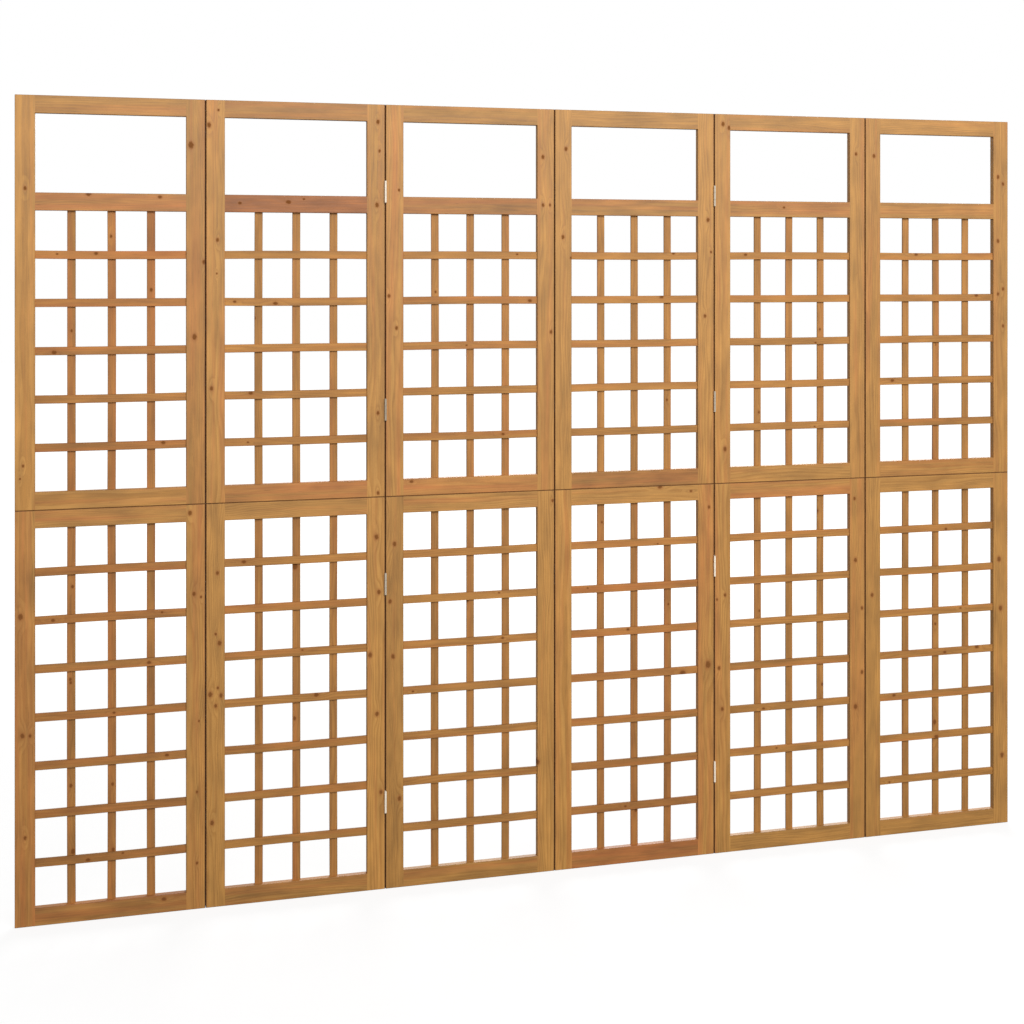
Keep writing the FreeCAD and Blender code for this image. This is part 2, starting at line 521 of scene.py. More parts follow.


# %% [markdown]
# The panels repeat along the row, so one function builds the boards of a panel from its left edge. No
# two boards come from the same tree: those stiles and rails that stand out in the photograph have a tone
# and a redness of their own, by panel, half and side, and chance does the rest. The cross slats get a
# painted light that is palest at the top of each half frame, and the upright slats get a painted shade.

# %% Build the panels
lath_bow = 0.001
lath_chance = 0.5
lath_painted_light = 2.0
# Painted shade: the upright slats, set back behind the cross slats, are toned darker.
upright_painted_shade = -0.7
lath_knots = 1
stile_tones = {
    (1, 0, -1): (-1.3, 2.2), (1, 0, 1): (-0.7, 1.2), (2, 0, -1): (0.0, -1.0), (2, 0, 1): (0.6, 0.3),
    (3, 0, -1): (-1.2, -0.5), (3, 0, 1): (0.0, -1.0), (4, 0, -1): (0.7, 0.9), (4, 0, 1): (0.2, 1.4),
    (6, 0, -1): (-0.2, -0.7), (1, 1, -1): (1.4, -0.2), (1, 1, 1): (-1.2, 0.6), (3, 1, -1): (0.2, 0.5),
    (4, 1, -1): (0.2, -1.0), (4, 1, 1): (0.2, -0.8), (6, 1, 1): (-0.8, 0.0),
}
slat_tones = {
    (1, 1): (-0.4, 2.2), (1, 0): (-1.3, 1.9), (2, 0): (-0.9, 0.6), (3, 1): (0.2, 0.3),
    (3, 0): (-0.5, 0.0), (4, 1): (0.3, 0.0), (4, 0): (-0.9, 1.9), (5, 1): (0.3, 0.0),
    (5, 0): (-0.1, 0.2), (6, 1): (0.1, 0.0), (6, 0): (-0.2, 0.0),
}
rail_tones = {
    "foot": {0: (-2.0, 1.0), 1: (-3.0, 2.5), 4: (-2.5, 2.5), 5: (-1.0, -1.0), 6: (-0.5, 0.5)},
    "lower_head": {0: (0.0, -0.5), 1: (0.0, 1.5), 5: (-1.0, 1.0)},
    "upper_sill": {0: (0.0, 0.0), 2: (-1.0, 1.5), 3: (0.5, 2.5), 4: (-3.0, 1.5), 6: (-0.5, 0.5)},
    "window": {0: (-1.5, 1.0), 1: (-0.5, 3.0), 2: (-4.5, 5.5), 3: (-2.0, 2.0), 6: (-0.5, 0.0)},
    "top": {0: (-0.5, -0.5), 1: (-1.0, -0.5), 2: (-1.0, 1.0), 3: (-1.0, -1.5)},
}


def spread(low, high, count):
    """Middles of the slats that part a length into count equal gaps."""
    clear = (high - low - (count - 1) * slat_width) / count
    return [low + n * (clear + slat_width) - slat_width / 2 for n in range(1, count)]


def hinge_side(joint):
    """+1 where the hinges of a joint are on the back, -1 where they are on the front."""
    low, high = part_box(f"hinges_{joint}_{joint + 1}_pins")
    return math.copysign(1, low.y + high.y)


def panel_stiles(number, left):
    boards = []
    for half in (0, 1):
        height = (half + 0.5) * half_height
        for hand in (-1, 1):
            joint = number - 1 if hand < 0 else number
            side = hinge_side(joint) if joint in joint_numbers else 0
            x = left + stile_width / 2 if hand < 0 else left + stile_width * 1.5 + opening_width
            over = -1 if (hand > 0) != (half > 0) else 1
            turn = hang_down if half else stand_up
            place = Matrix.Translation((x, 0, height)) @ (turn_round @ turn if over < 0 else turn)
            meets = [(Vector((1, 0, 0)), seam_arris, seam_painted_shadow)]
            if side:
                meets.append((Vector((0, 0, 1)), outer_arris, joint_painted_shadow))
            tone, red = stile_tones.get((number, half, hand), (0.0, 0.0))
            kind = stile_kinds[half, -over, int(over * side)]
            boards.append(lay_board(kind, place, tone, red, meets=meets))
    return boards


def panel_rails(number, middle):
    def at(low):
        return Matrix.Translation((middle, 0, low + rail_width / 2))

    over = Matrix.Rotation(math.pi, 4, "X")
    meets = [(Vector((0, 0, 1)), seam_arris, seam_painted_shadow)]
    kinds = rail_tones.values()
    foot, lower_head, upper_sill, window, top = (tones.get(number, tones[0]) for tones in kinds)
    return [
        lay_board(rail_kind, at(0), *foot),
        lay_board(seam_rail_kind, at(half_height - rail_width), *lower_head, meets=meets),
        lay_board(seam_rail_kind, at(half_height) @ over, *upper_sill, meets=meets),
        lay_board(rail_kind, at(upright_high.z), *window),
        lay_board(rail_kind, at(2 * half_height - rail_width), *top),
    ]


def panel_slats(number, left, half):
    low = half * half_height + rail_width
    high = low + lattice_heights[half]
    inner_left = left + stile_width
    middle = inner_left + opening_width / 2
    columns = spread(inner_left, inner_left + opening_width, column_count)
    rows = spread(low, high, row_counts[half])
    centre = (low + high) / 2
    tone, red = slat_tones.get((number, half), (0.0, 0.0))
    lath = {"bowed": lath_bow, "knotty": lath_knots, "sides": lath_side_painted_shade}

    def any_tone(painted_light_lift=0.0):
        changes = [chance.uniform(-lath_chance, lath_chance) for n in range(2)]
        return tone + painted_light_lift + changes[0], red + changes[1]

    # Painted light: the cross slats are toned lighter towards the top of each half frame.
    def painted_light_lift(z):
        return lath_painted_light * ((z - low) / (high - low) - 0.5)

    level = [
        lay_board(cross_kind, Matrix.Translation((middle, cross_y, z)), *any_tone(painted_light_lift(z)), **lath)
        for z in rows
    ]
    standing = [
        lay_board(upright_kinds[half], Matrix.Translation((x, upright_y, centre)) @ stand_up,
                  *any_tone(upright_painted_shade), **lath)
        for x in columns
    ]
    return level, standing


def panel_tongues(left):
    from_edge = tenon_low.x - stile_low.x + tenon_width / 2
    width = 2 * stile_width + opening_width
    places = (left + from_edge, left + width - from_edge)
    return [lay_board(tenon_kind, Matrix.Translation((x, 0, half_height)) @ stand_up) for x in places]


wooden = {"frame_wood": [], "slat_wood": []}
for number in panel_numbers:
    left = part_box(f"panel_{number}_stiles")[0].x
    middle = left + stile_width + opening_width / 2
    lower = panel_slats(number, left, 0)
    upper = panel_slats(number, left, 1)
    groups = {
        "stiles": panel_stiles(number, left),
        "rails": panel_rails(number, middle),
        "cross_slats": lower[0] + upper[0],
        "upright_slats": lower[1] + upper[1],
        "loose_tenons": panel_tongues(left),
    }
    for group, boards in groups.items():
        piece = join_boards(f"fir_{number}_{group}", boards)
        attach(piece, f"panel_{number}")
        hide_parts(f"panel_{number}_{group}")
        slot = "slat_wood" if "slats" in group else "frame_wood"
        wooden[slot].append(piece)
for kind in wood_kinds:
    discard(kind)
for slot, pieces in wooden.items():
    print(slot, "pieces", len(pieces), "faces", sum(len(piece.data.polygons) for piece in pieces))

# %% [markdown]
# Materials are built from nodes. A small bench of helpers keeps each recipe short: every helper makes
# one node, feeds its inputs and gives back its output.

# %% Node helpers
class Bench:
    """Adds nodes to one tree. A number, a colour or another node's output may be given as an input."""

    def __init__(self, tree):
        self.tree = tree

    def feed(self, socket, value):
        if isinstance(value, bpy.types.NodeSocket):
            self.tree.links.new(value, socket)
        else:
            socket.default_value = value

    def node(self, kind, inputs=(), output=0, **settings):
        made = self.tree.nodes.new(kind)
        for name, value in settings.items():
            setattr(made, name, value)
        for key, value in dict(inputs).items():
            self.feed(made.inputs[key], value)
        return made.outputs[output]

    def math(self, operation, first, second=0.0, third=0.0):
        return self.node("ShaderNodeMath", {0: first, 1: second, 2: third}, operation=operation)

    def vector(self, operation, first, second=(0, 0, 0)):
        output = "Value" if operation in ("LENGTH", "DISTANCE") else 0
        return self.node("ShaderNodeVectorMath", {0: first, 1: second}, output, operation=operation)

    def join(self, x, y, z):
        return self.node("ShaderNodeCombineXYZ", {0: x, 1: y, 2: z})

    def split(self, vector):
        made = self.tree.nodes.new("ShaderNodeSeparateXYZ")
        self.feed(made.inputs[0], vector)
        return made.outputs[0], made.outputs[1], made.outputs[2]

    def noise(self, vector, detail=2.0, rough=0.5):
        inputs = {"Vector": vector, "Scale": 1.0, "Detail": detail, "Roughness": rough}
        return self.node("ShaderNodeTexNoise", inputs, "Fac")

    def step(self, value, low, high, start=0.0, end=1.0):
        inputs = {"Value": value, "From Min": low, "From Max": high, "To Min": start, "To Max": end}
        return self.node("ShaderNodeMapRange", inputs, interpolation_type="SMOOTHSTEP")

    def mix(self, share, first, second, blend="MIX"):
        inputs = {0: share, 6: first, 7: second}
        return self.node("ShaderNodeMix", inputs, 2, data_type="RGBA", blend_type=blend)

    def attribute(self, name, output="Vector"):
        return self.node("ShaderNodeAttribute", output=output, attribute_name=name)


def new_group(name, takes, gives):
    """A shader node group with named sockets, and a bench to fill it."""
    tree = bpy.data.node_groups.new(name, "ShaderNodeTree")
    for socket, kind in takes.items():
        tree.interface.new_socket(socket, in_out="INPUT", socket_type=f"NodeSocket{kind}")
    for socket, kind in gives.items():
        tree.interface.new_socket(socket, in_out="OUTPUT", socket_type=f"NodeSocket{kind}")
    inside = tree.nodes.new("NodeGroupInput")
    outside = tree.nodes.new("NodeGroupOutput")
    return tree, Bench(tree), inside.outputs, outside.inputs


def place_group(bench, tree, **inputs):
    made = bench.tree.nodes.new("ShaderNodeGroup")
    made.node_tree = tree
    for name, value in inputs.items():
        bench.feed(made.inputs[name.replace("_", " ").title()], value)
    return made.outputs


# %% [markdown]
# A knot is a branch cut through: a dark heart with year rings of its own and a softer ring round it,
# and the grain flows past it. The group measures how far a point lies from the knot's middle, stretched
# along the grain, and gives three masks.

# %% Knot group
knot_stretch, tail_stretch = 1.35, 0.4
ragged_edge = 0.7
year_turns, year_depth = 21, 0.16
heart_edges, ring_edges, flow_edges = (1.05, 0.5), (1.8, 0.7), (2.6, 0.0)
knot_tree, bench, given, result = new_group(
    "knot", {"Place": "Vector", "Knot": "Vector"}, {"Heart": "Float", "Ring": "Float", "Flow": "Float"}
)
along, across, through = bench.split(given["Place"])
knot_along, knot_across, knot_radius = bench.split(given["Knot"])
radius = bench.math("MAXIMUM", knot_radius, 0.0001)
away_along = bench.math("SUBTRACT", along, knot_along)
reach_along = bench.math("DIVIDE", away_along, bench.math("MULTIPLY", radius, knot_stretch))
reach_across = bench.math("DIVIDE", bench.math("SUBTRACT", across, knot_across), radius)
ragged = bench.noise(bench.vector("MULTIPLY", given["Place"], (300, 500, 500)))
far = bench.vector("LENGTH", bench.join(reach_along, reach_across, 0))
far = bench.math("ADD", far, bench.math("MULTIPLY_ADD", ragged, ragged_edge, -ragged_edge / 2))
tail_along = bench.math("MULTIPLY", reach_along, tail_stretch)
tail = bench.vector("LENGTH", bench.join(tail_along, reach_across, 0))
wave = bench.math("SINE", bench.math("MULTIPLY", far, year_turns))
years = bench.math("MULTIPLY_ADD", wave, year_depth, 1 - year_depth)
bench.feed(result["Heart"], bench.math("MULTIPLY", bench.step(far, *heart_edges), years))
bench.feed(result["Ring"], bench.step(far, *ring_edges))
bench.feed(result["Flow"], bench.step(tail, *flow_edges))
print("knot nodes", len(knot_tree.nodes))

# %% [markdown]
# Growth rings run round the middle of the tree, which lies outside a board this thin. Each board takes
# its own middle and ring width from its mark, so some faces show straight lines and others long arches.
# The soft spring wood is pale and each ring ends in a thin dark line of late wood.

# %% Growth ring group
grain_wander = 0.05
pith_aside = 0.08
pith_depth, pith_depth_range = 0.012, 0.07
least_ring, ring_range = 0.0022, 0.002
flow_push = 0.004
late_rise, late_fall = (0.25, 0.9), (1.0, 0.93)
ring_tree, bench, given, result = new_group(
    "growth_rings", {"Place": "Vector", "Seed": "Float", "Flow": "Float"}, {"Late Wood": "Float"}
)
drawn = bench.node("ShaderNodeTexWhiteNoise", {"W": given["Seed"]}, "Color", noise_dimensions="1D")
draw_a, draw_b, draw_c = bench.split(drawn)
shift = bench.join(bench.math("MULTIPLY", given["Seed"], 60), draw_a, draw_b)
wander = bench.noise(bench.vector("ADD", bench.vector("MULTIPLY", given["Place"], (3.0, 16, 16)), shift))
along, across, through = bench.split(given["Place"])
aside = bench.math("ADD", across, bench.math("MULTIPLY_ADD", wander, grain_wander, -grain_wander / 2))
aside = bench.math("ADD", aside, bench.math("MULTIPLY_ADD", draw_a, pith_aside, -pith_aside / 2))
deep = bench.math("ADD", through, bench.math("MULTIPLY_ADD", draw_b, pith_depth_range, pith_depth))
reach = bench.vector("LENGTH", bench.join(aside, deep, 0))
reach = bench.math("ADD", reach, bench.math("MULTIPLY", given["Flow"], flow_push))
ring_width = bench.math("MULTIPLY_ADD", draw_c, ring_range, least_ring)
turn = bench.math("FRACT", bench.math("DIVIDE", reach, ring_width))
late = bench.math("MULTIPLY", bench.step(turn, *late_rise), bench.step(turn, *late_fall))
bench.feed(result["Late Wood"], late)
print("ring nodes", len(ring_tree.nodes))

# %% [markdown]
# Between the rings the wood is made of fibres, which show as fine streaks along the board, with broad
# paler and redder bands, patches where the grain dips, and a few short dark flecks of resin.

# %% Fibre group
hair_share = 0.4
fleck_edges = (0.70, 0.78)
fibre_tree, bench, given, result = new_group(
    "fibres", {"Place": "Vector", "Seed": "Float"},
    {"Streak": "Float", "Band": "Float", "Patch": "Float", "Fleck": "Float", "Height": "Float"}
)
offset = bench.math("MULTIPLY", given["Seed"], 83)
shift = bench.join(offset, offset, offset)


def stretched(along_scale, across_scale, detail):
    scaled = bench.vector("MULTIPLY", given["Place"], (along_scale, across_scale, across_scale))
    return bench.noise(bench.vector("ADD", scaled, shift), detail)


streak = stretched(9, 420, 3)
hair = stretched(30, 2200, 2)
fibre = bench.math("MULTIPLY_ADD", hair, hair_share, bench.math("MULTIPLY", streak, 1 - hair_share))
bench.feed(result["Streak"], fibre)
bench.feed(result["Band"], stretched(2.2, 70, 2))
bench.feed(result["Patch"], stretched(11, 45, 2))
bench.feed(result["Fleck"], bench.step(stretched(45, 700, 1), *fleck_edges))
bench.feed(result["Height"], hair)
print("fibre nodes", len(fibre_tree.nodes))

# %% [markdown]
# The finish is a thin honey-coloured oil. It leaves a satin sheen, a little rougher on the soft spring
# wood, and it soaks in and darkens where the end grain is open.

# %% Oiled fir
late_depth = 0.58
band_blush, red_blush, blush_start, blush_most = 2.0, 0.2, -0.95, 0.95
tone_step = 0.08
fibre_depth, fibre_start = 0.8, -0.39
fleck_depth = 0.25
end_grain_depth = 0.35
ring_share, ring_brown = 0.55, (0.33, 0.112, 0.018, 1)
heart_share, heart_brown = 0.84, (0.130, 0.035, 0.001, 1)
# The near-black brown of the painted shade and of the painted shadow in the gaps.
painted_shade_brown = (0.055, 0.014, 0.002, 1)
streak_rough, late_rough, dark_rough = 0.18, 0.12, 0.5
late_height, bump_strength, bump_depth = 0.6, 0.25, 0.0004
specular_level = 0.5


def oiled_fir(name, pale, dark, redder, satin):
    made = bpy.data.materials.new(name)
    made.use_nodes = True
    bench = Bench(made.node_tree)
    shader = made.node_tree.nodes["Principled BSDF"]
    place = bench.attribute("grain_place")
    seed, tone, red = bench.split(bench.attribute("board_mark"))
    heart, ring, flow = 0.0, 0.0, 0.0
    for n in range(knots_per_board):
        knot = place_group(bench, knot_tree, place=place, knot=bench.attribute(f"knot_{n + 1}"))
        heart = bench.math("MAXIMUM", knot["Heart"], heart)
        ring = bench.math("MAXIMUM", knot["Ring"], ring)
        flow = bench.math("MAXIMUM", knot["Flow"], flow)
    rings = place_group(bench, ring_tree, place=place, seed=seed, flow=flow)
    fibres = place_group(bench, fibre_tree, place=place, seed=seed)
    late = bench.math("MULTIPLY", rings["Late Wood"], late_depth)
    colour = bench.mix(late, (*pale, 1), (*dark, 1))
    blush = bench.math("MULTIPLY_ADD", red, red_blush, blush_start)
    blush = bench.math("MULTIPLY_ADD", fibres["Band"], band_blush, blush)
    blush = bench.math("MINIMUM", bench.math("MAXIMUM", blush, 0.0), blush_most)
    colour = bench.mix(blush, colour, (*redder, 1))
    bright = bench.math("MULTIPLY_ADD", tone, tone_step, 1.0)
    for change in (fibres["Streak"], fibres["Patch"]):
        bright = bench.math("ADD", bright, bench.math("MULTIPLY_ADD", change, fibre_depth, fibre_start))
    end_grain = bench.attribute("end_grain", "Fac")
    for loss, depth in ((fibres["Fleck"], fleck_depth), (end_grain, end_grain_depth)):
        bright = bench.math("SUBTRACT", bright, bench.math("MULTIPLY", loss, depth))
    colour = bench.mix(1.0, colour, bench.join(bright, bright, bright), "MULTIPLY")
    colour = bench.mix(bench.math("MULTIPLY", ring, ring_share), colour, ring_brown)
    colour = bench.mix(bench.math("MULTIPLY", heart, heart_share), colour, heart_brown)
    # Painted shade and painted shadow: arrises, lath sides and the edges in the gaps between frames are
    # darkened towards a near-black brown.
    painted_shade = bench.attribute("painted_shade", "Fac")
    colour = bench.mix(painted_shade, colour, painted_shade_brown)
    rough = bench.math("MULTIPLY_ADD", fibres["Streak"], streak_rough, satin)
    rough = bench.math("SUBTRACT", rough, bench.math("MULTIPLY", late, late_rough))
    rough = bench.math("MULTIPLY_ADD", bench.math("MAXIMUM", heart, painted_shade), dark_rough, rough)
    height = bench.math("MULTIPLY_ADD", late, late_height, fibres["Height"])
    relief = {"Strength": bump_strength, "Distance": bump_depth, "Height": height}
    bump = bench.node("ShaderNodeBump", relief)
    bench.feed(shader.inputs["Base Color"], colour)
    bench.feed(shader.inputs["Roughness"], rough)
    bench.feed(shader.inputs["Normal"], bump)
    bench.feed(shader.inputs["Specular IOR Level"], specular_level)
    return made


def dress(pieces, finish):
    for piece in pieces:
        piece.data.materials.clear()
        piece.data.materials.append(finish)


fir = oiled_fir(
    "oiled_fir", pale=(0.482, 0.235, 0.055), dark=(0.322, 0.137, 0.024),
    redder=(0.482, 0.166, 0.042), satin=0.46,
)
red_fir = oiled_fir(
    "oiled_red_fir", pale=(0.442, 0.200, 0.043), dark=(0.297, 0.117, 0.021),
    redder=(0.442, 0.151, 0.032), satin=0.56,
)
dress(wooden["frame_wood"], fir)
dress(wooden["slat_wood"], red_fir)
print("wood nodes", len(fir.node_tree.nodes))

# %% [markdown]
# Each hinge is a pair of steel plates. One end of a plate is rolled round the pin in knuckles: two on
# the left plate and one between them on the right plate. Where the frame gives a size, such as the pin's
# radius or the gap between two panels, it is read from there.

# %% Hinge sizes
knuckle_count = 3
barrel_radius = 0.0025
pin_radius = (pin_high.x - pin_low.x) / 2
axis_offset = (pin_low.y + pin_high.y) / 2 - stile_high.y
panel_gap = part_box("panel_2_stiles")[0].x - stile_high.x
knuckle_pitch = hinge_length / knuckle_count
knuckle_clearance = 0.0003
knuckle_arris = 0.0002
pin_clearance = 0.00005
plate_arris = plate_thickness * 0.25
neck_thickness = plate_thickness * 0.9
neck_share = 0.98
screw_head_radius = 0.0023
screw_shank_radius = 0.0012
screw_share = 0.3
screw_places = (-screw_share * hinge_length, screw_share * hinge_length)
plate_x = panel_gap / 2 + plate_thickness / 2
plate_y = -axis_offset - plate_depth / 2
print("hinge pin", pin_radius, "offset", axis_offset, "plate", plate_thickness, plate_depth)


# %% [markdown]
# A plate is stamped from sheet and bent. Here it is a block with its corners eased, a tube is added for
# each knuckle with a neck to hold it, the bore is drilled through, and the countersunk holes are cut
# with cones. The plates are modelled for a hinge on the back, about its pin, and turned over for the
# front.

# %% Hinge plates
def new_cylinder(name, radius, length, place=(0, 0, 0), sides=24):
    drop_selection()
    bpy.ops.mesh.primitive_cylinder_add(vertices=sides, radius=radius, depth=length, location=place)
    bpy.context.object.name = name
    bpy.ops.object.transform_apply(location=True, rotation=True, scale=True)
    return bpy.context.object


def sink_cone(hand, height):
    """A cone whose wide end lies in the outer face of a plate, for one countersunk screw."""
    drop_selection()
    bpy.ops.mesh.primitive_cone_add(
        vertices=20, radius1=screw_head_radius, radius2=screw_shank_radius, depth=plate_thickness,
        location=(hand * plate_x, plate_y, height), rotation=(0, hand * math.pi / 2, 0),
    )
    bpy.ops.object.transform_apply(location=True, rotation=True, scale=True)
    return bpy.context.object


def make_plate(hand):
    size = (plate_thickness, plate_depth, hinge_length)
    plate = new_block("plate", size, (hand * plate_x, plate_y, 0))
    apply_modifier(plate, "BEVEL", width=plate_arris, segments=2, limit_method="NONE")
    for n in range((hand + 1) // 2, knuckle_count, 2):
        height = (n + 0.5) * knuckle_pitch - hinge_length / 2
        length = knuckle_pitch - knuckle_clearance
        knuckle = new_cylinder("knuckle", barrel_radius, length, (0, 0, height))
        apply_modifier(knuckle, "BEVEL", width=knuckle_arris, segments=2, limit_method="ANGLE")
        neck_size = (neck_thickness, axis_offset, length * neck_share)
        neck_y = -axis_offset / 2 - barrel_radius / 2
        neck = new_block("neck", neck_size, (hand * plate_x, neck_y, height))
        fuse(plate, neck)
        fuse(plate, knuckle)
    carve(plate, new_cylinder("bore", pin_radius + pin_clearance, hinge_length * 2))
    for height in screw_places:
        carve(plate, sink_cone(hand, height))
    return plate


plate_kinds = {hand: make_plate(hand) for hand in (-1, 1)}
print("plate faces", {hand: len(plate.data.polygons) for hand, plate in plate_kinds.items()})

# %% [markdown]
# A pin is a straight wire with rounded ends. A countersunk screw has a flat head with a cross recess
# and a shank that tapers to a point in the wood.

# %% Pins and screws
pin_round = pin_radius * 0.4
pin_kind = new_cylinder("pin", pin_radius, hinge_length, sides=20)
apply_modifier(pin_kind, "BEVEL", width=pin_round, segments=3, limit_method="ANGLE")
screw_length = 0.016
shank, point = {"share": 0.6, "taper": 0.8}, {"share": 0.3, "taper": 0.1}
head_radius = screw_head_radius * 0.96
recess_reach, recess_width = 1.2 * screw_head_radius, 0.28 * screw_head_radius
recess_depth = 1.2 * plate_thickness


def make_screw():
    """A screw along +X, with the top of its head at X = 0."""
    screw = new_cylinder("screw", head_radius, plate_thickness, (0, 0, -plate_thickness / 2), 16)
    take(screw)
    bpy.ops.object.mode_set(mode="EDIT")
    bpy.ops.mesh.select_mode(type="FACE")
    bpy.ops.mesh.select_all(action="DESELECT")
    shape = bmesh.from_edit_mesh(screw.data)
    for face in shape.faces:
        face.select_set(face.normal.z < -end_facing)
    bmesh.update_edit_mesh(screw.data)
    neck = screw_shank_radius / screw_head_radius
    bpy.ops.transform.resize(value=(neck, neck, 1))
    for length in (shank, point):
        step = (0, 0, -screw_length * length["share"])
        bpy.ops.mesh.extrude_region_move(TRANSFORM_OT_translate={"value": step})
        bpy.ops.transform.resize(value=(length["taper"], length["taper"], 1))
    bpy.ops.object.mode_set(mode="OBJECT")
    for spans in ((recess_reach, recess_width), (recess_width, recess_reach)):
        carve(screw, new_block("recess", (*spans, recess_depth)))
    screw.data.transform(Matrix.Rotation(-math.pi / 2, 4, "Y"))
    return screw


screw_kind = make_screw()
steel_kinds = [*plate_kinds.values(), pin_kind, screw_kind]
for kind in steel_kinds:
    smooth_over(kind, all_faces)
print("pin faces", len(pin_kind.data.polygons), "screw faces", len(screw_kind.data.polygons))


# %% [markdown]
# The hinges of a joint sit at four heights. Their pieces are copied to each height, joined by node, and
# ride on the panel that carries them: the pins stay with the left plates. In the photograph some hinges
# catch the light and others look grey, so each gets its own painted shade, a darker and rougher zinc,
# given from the lowest hinge upwards.

# %% Hang the hinges
even_dulling = (0.3, 0.3, 0.3, 0.3)
# Painted shade: each listed hinge gets its own amount of darker, rougher zinc, from the lowest upwards.
hinge_painted_shade = {2: (0.0, 0.65, 0.85, 0.25), 4: (0.0, 0.0, 0.7, 0.6)}


def copy_to(kind, places, dulling_and_painted_shade):
    copies = []
    for place, dulled_and_painted_shade in zip(places, dulling_and_painted_shade):
        copy = copy_of(kind)
        copy.data.transform(place)
        note_faces(copy.data, "dulled_and_painted_shade", [dulled_and_painted_shade] * len(copy.data.polygons))
        copies.append(copy)
    return copies


def screw_turns(hand):
    """Places of the two screws of a plate, about the hinge's pin. Each is turned as it was driven."""
    point = Matrix.Identity(4) if hand > 0 else Matrix.Rotation(math.pi, 4, "Z")
    face = hand * (plate_x - plate_thickness / 2)
    places = []
    for height in screw_places:
        driven = Matrix.Rotation(chance.uniform(0, math.pi), 4, "X")
        places.append(Matrix.Translation((face, plate_y, height)) @ point @ driven)
    return places


half_insets = (hinge_inset, half_height - hinge_inset)
hinge_heights = [half * half_height + inset for half in (0, 1) for inset in half_insets]
metal = {"hinge_steel": [], "screw_steel": []}
for joint in joint_numbers:
    low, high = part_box(f"hinges_{joint}_{joint + 1}_pins")
    axis = (low + high) / 2
    over = Matrix.Identity(4) if hinge_side(joint) > 0 else Matrix.Rotation(math.pi, 4, "X")
    places = [Matrix.Translation((axis.x, axis.y, z)) @ over for z in hinge_heights]
    dulling_and_painted_shade = hinge_painted_shade.get(joint, even_dulling)
    groups = {"pins": (joint, copy_to(pin_kind, places, dulling_and_painted_shade))}
    for hand, word, panel in ((-1, "left", joint), (1, "right", joint + 1)):
        groups[f"{word}_plates"] = (panel, copy_to(plate_kinds[hand], places, dulling_and_painted_shade))
        driven = [place @ turn for place in places for turn in screw_turns(hand)]
        groups[f"{word}_screws"] = (panel, copy_to(screw_kind, driven, even_dulling * 2))
    for group, (panel, pieces) in groups.items():
        piece = join_boards(f"steel_{joint}_{joint + 1}_{group}", pieces)
        slot = "screw_steel" if "screws" in group else "hinge_steel"
        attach(piece, f"panel_{panel}")
        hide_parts(f"hinges_{joint}_{joint + 1}_{group}")
        metal[slot].append(piece)
for kind in steel_kinds:
    discard(kind)
print("steel pieces", {slot: len(pieces) for slot, pieces in metal.items()})

# %% [markdown]
# The steel is zinc plated: bright, a little cloudy, with fine scuffs from handling.

# %% Zinc plate
cloud_dulling = 0.15
zinc_rough, cloud_rough, dulled_rough, scuff_rough = 0.62, 0.2, 0.1, 0.15
scuff_tree, bench, given, result = new_group(
    "scuffs", {"Place": "Vector"}, {"Cloud": "Float", "Scuff": "Float"}
)
cloud = bench.noise(bench.vector("MULTIPLY", given["Place"], (180, 180, 120)), 3)
scratch = bench.noise(bench.vector("MULTIPLY", given["Place"], (900, 900, 4200)), 1)
bench.feed(result["Cloud"], cloud)
bench.feed(result["Scuff"], bench.step(scratch, 0.58, 0.72))


def zinc(name, bright, dull):
    made = bpy.data.materials.new(name)
    made.use_nodes = True
    bench = Bench(made.node_tree)
    shader = made.node_tree.nodes["Principled BSDF"]
    place = bench.node("ShaderNodeTexCoord", output="Object")
    scuffs = place_group(bench, scuff_tree, place=place)
    # The zinc darkens by its cloud and by each piece's dulling, which for the listed hinges is painted
    # shade.
    dulled_and_painted_shade = bench.attribute("dulled_and_painted_shade", "Fac")
    patchy = bench.math("MULTIPLY", scuffs["Cloud"], cloud_dulling)
    colour = bench.mix(bench.math("MAXIMUM", patchy, dulled_and_painted_shade), (*bright, 1), (*dull, 1))
    rough = bench.math("MULTIPLY_ADD", dulled_and_painted_shade, dulled_rough, zinc_rough)
    rough = bench.math("MULTIPLY_ADD", scuffs["Cloud"], cloud_rough, rough)
    rough = bench.math("MULTIPLY_ADD", scuffs["Scuff"], scuff_rough, rough)
    bench.feed(shader.inputs["Base Color"], colour)
    bench.feed(shader.inputs["Roughness"], rough)
    bench.feed(shader.inputs["Metallic"], 1.0)
    return made


finishes = {
    "hinge_steel": zinc("zinc_hinge", (0.98, 0.91, 0.80), (0.42, 0.37, 0.29)),
    "screw_steel": zinc("zinc_screw", (0.80, 0.79, 0.76), (0.60, 0.59, 0.57)),
}
for slot, pieces in metal.items():
    dress(pieces, finishes[slot])
print("finishes", list(finishes))

# %% [markdown]
# The studio is plain: a pale floor, a white surround, one wide soft box in front and a smaller one
# behind. The surround and the floor look white to the camera, but only dimly so in reflections, because
# a bright room would lay a grey veil over the oiled wood. Near the feet the floor glows a little less,
# so that the light of the boxes makes up the rest and the shadow of the lattice can be seen.

# %% Studio
reflected = 0.35
ambient = 0.38


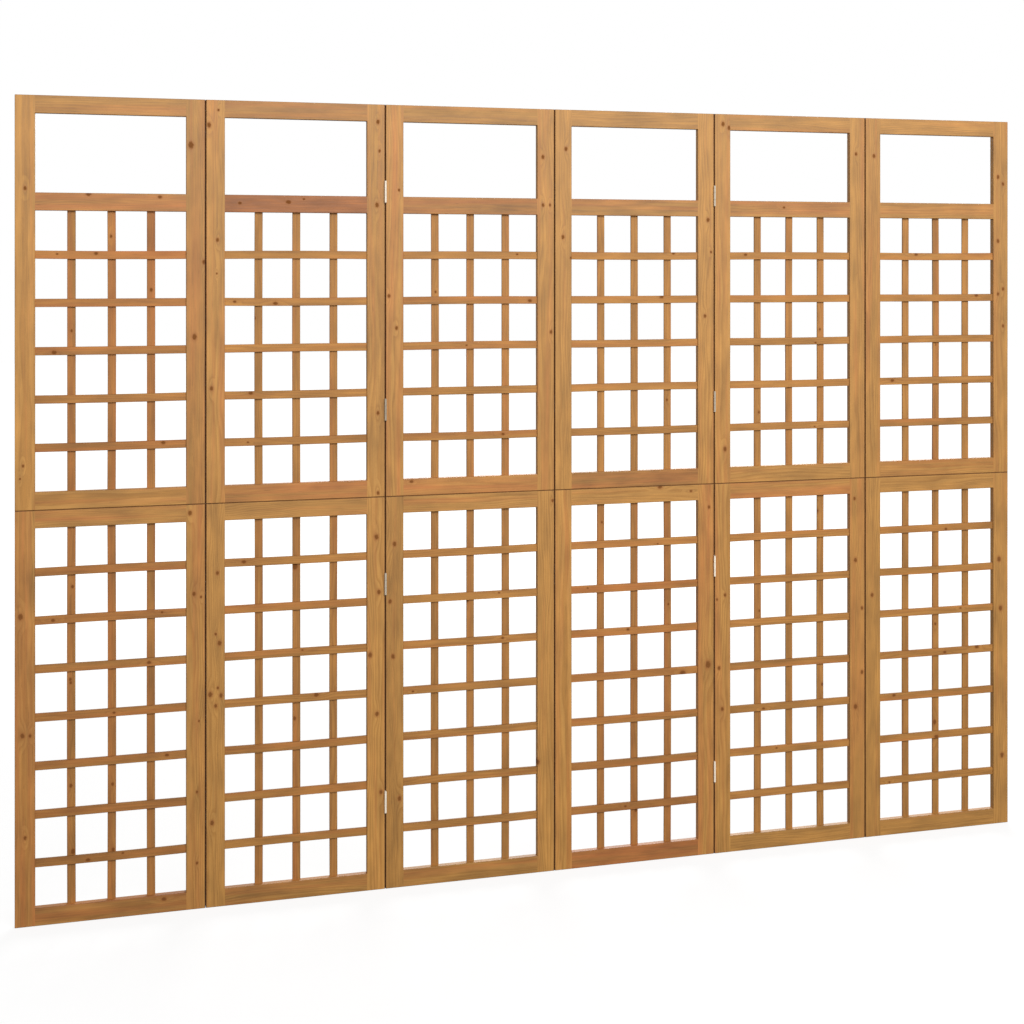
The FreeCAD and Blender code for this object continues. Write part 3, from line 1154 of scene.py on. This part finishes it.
def seen_directly(bench):
    """1 for rays from the camera, and less for those that a shiny or clear surface sends on."""
    path = bench.tree.nodes.new("ShaderNodeLightPath")
    shiny = bench.math("MAXIMUM", path.outputs["Is Glossy Ray"], path.outputs["Is Transmission Ray"])
    return bench.math("MAXIMUM", path.outputs["Is Camera Ray"], bench.math("MULTIPLY", shiny, reflected))


near_glow, far_glow = 0.83, 1.0
near_reach, far_reach = 1.2, 3.5
floor_size, floor_drop = 40, 0.0005
floor_grey = (0.15, 0.15, 0.15, 1)
surround = bpy.data.worlds.new("surround")
bpy.context.scene.world = surround
surround.use_nodes = True
bench = Bench(surround.node_tree)
strength = bench.math("MULTIPLY_ADD", seen_directly(bench), 1 - ambient, ambient)
backdrop = surround.node_tree.nodes["Background"]
bench.feed(backdrop.inputs["Color"], (1, 1, 1, 1))
bench.feed(backdrop.inputs["Strength"], strength)

drop_selection()
bpy.ops.mesh.primitive_plane_add(size=floor_size, location=(0, 0, cad_box[0].z - floor_drop))
floor = bpy.context.object
floor.name = "floor"
floor_paint = bpy.data.materials.new("floor_paint")
floor_paint.use_nodes = True
bench = Bench(floor_paint.node_tree)
paint = floor_paint.node_tree.nodes["Principled BSDF"]
bench.feed(paint.inputs["Base Color"], floor_grey)
bench.feed(paint.inputs["Roughness"], 0.9)
bench.feed(paint.inputs["Emission Color"], (1, 1, 1, 1))
spot = bench.node("ShaderNodeTexCoord", output="Object")
away = bench.vector("LENGTH", bench.vector("MULTIPLY", spot, (0.5, 1, 0)))
share = bench.step(away, near_reach, far_reach, near_glow, far_glow)
glow = bench.math("MULTIPLY", seen_directly(bench), share)
bench.feed(paint.inputs["Emission Strength"], glow)
floor.data.materials.append(floor_paint)


def soft_box(name, place, aim, size, power):
    drop_selection()
    turn = (Vector(aim) - Vector(place)).to_track_quat("-Z", "Y").to_euler()
    bpy.ops.object.light_add(type="AREA", location=place, rotation=turn)
    lamp = bpy.context.object
    lamp.name = name
    lamp.data.shape = "RECTANGLE"
    lamp.data.size, lamp.data.size_y = size
    lamp.data.energy = power


soft_box("key_box", place=(0.9, -4.8, 3.4), aim=(0.3, 0, 1.5), size=(6.4, 2.8), power=317)
soft_box("back_box", place=(2.2, 5.0, 3.2), aim=(0, 0, 1), size=(4.0, 2.0), power=250)
bpy.context.scene.view_settings.view_transform = "Standard"
